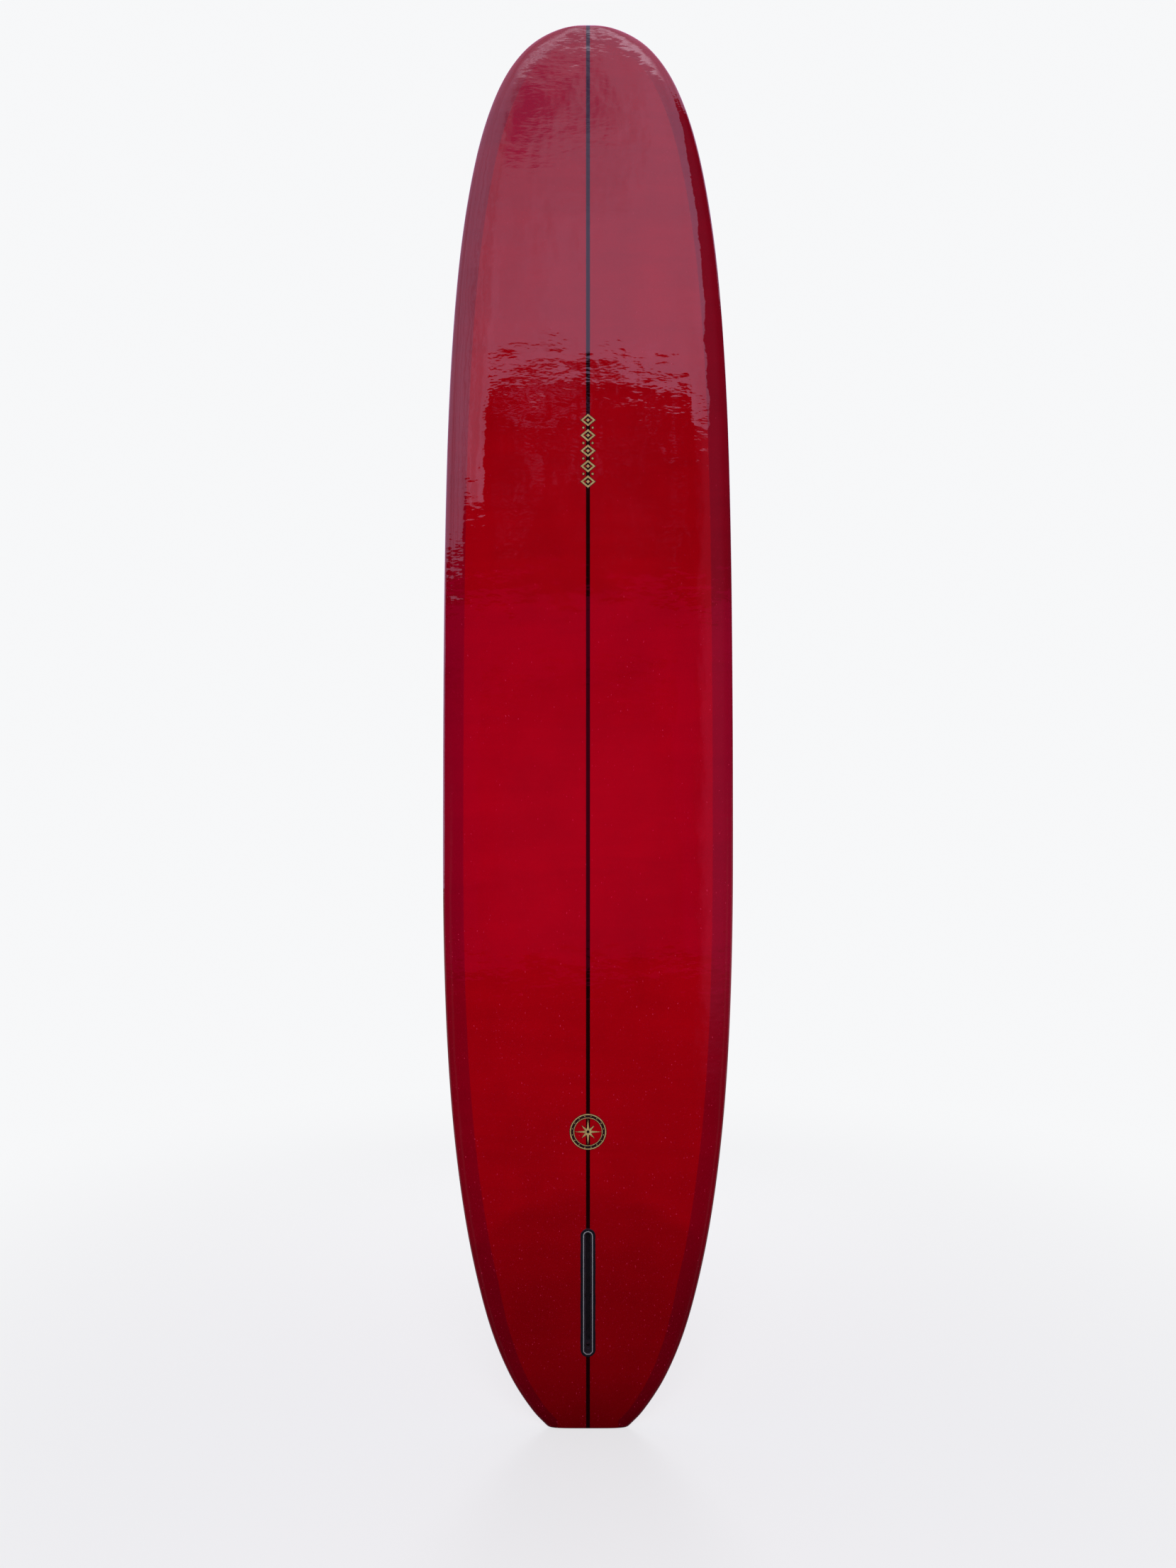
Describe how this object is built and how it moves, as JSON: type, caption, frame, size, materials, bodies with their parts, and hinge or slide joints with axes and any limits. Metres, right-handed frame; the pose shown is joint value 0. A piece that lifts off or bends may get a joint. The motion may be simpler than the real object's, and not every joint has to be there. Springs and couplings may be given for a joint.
{
  "type": "longboard surfboard",
  "caption": "Round-nose, square-tail longboard surfboard: glassed foam blank with a dark centre stringer, an empty centre fin box and a leash hole, red gloss resin tint.",
  "frame": {"origin": "centre of the flat tail end, where the board stands", "axes": "+Z along the board from the tail to the nose, X across the width, -Y out of the bottom (fin) face, +Y out of the deck"},
  "size_m": [0.613, 0.1256, 3.0474],
  "materials": {
    "foam": "closed-cell foam, sealed inside",
    "stringer_wood": "dark wood, sealed under the glass",
    "red_glass": "polished gloss resin tint over woven glass",
    "box_plastic": "moulded, fine satin",
    "black_resin": "polished resin",
    "tube_metal": "polished",
    "gold_print": "gold ink print under gloss"
  },
  "bodies": {
    "root": {"foam_core_right": "foam", "foam_core_left": "foam", "stringer": "stringer_wood", "bottom_laminate": "red_glass", "deck_laminate": "red_glass", "fin_box": "box_plastic", "fin_box_resin_bed": "black_resin", "leash_tube": "tube_metal", "leash_hole_bead": "black_resin", "bottom_band_print": "gold_print", "deck_band_print": "gold_print", "bottom_star_print": "gold_print"}
  },
  "joints": []
}
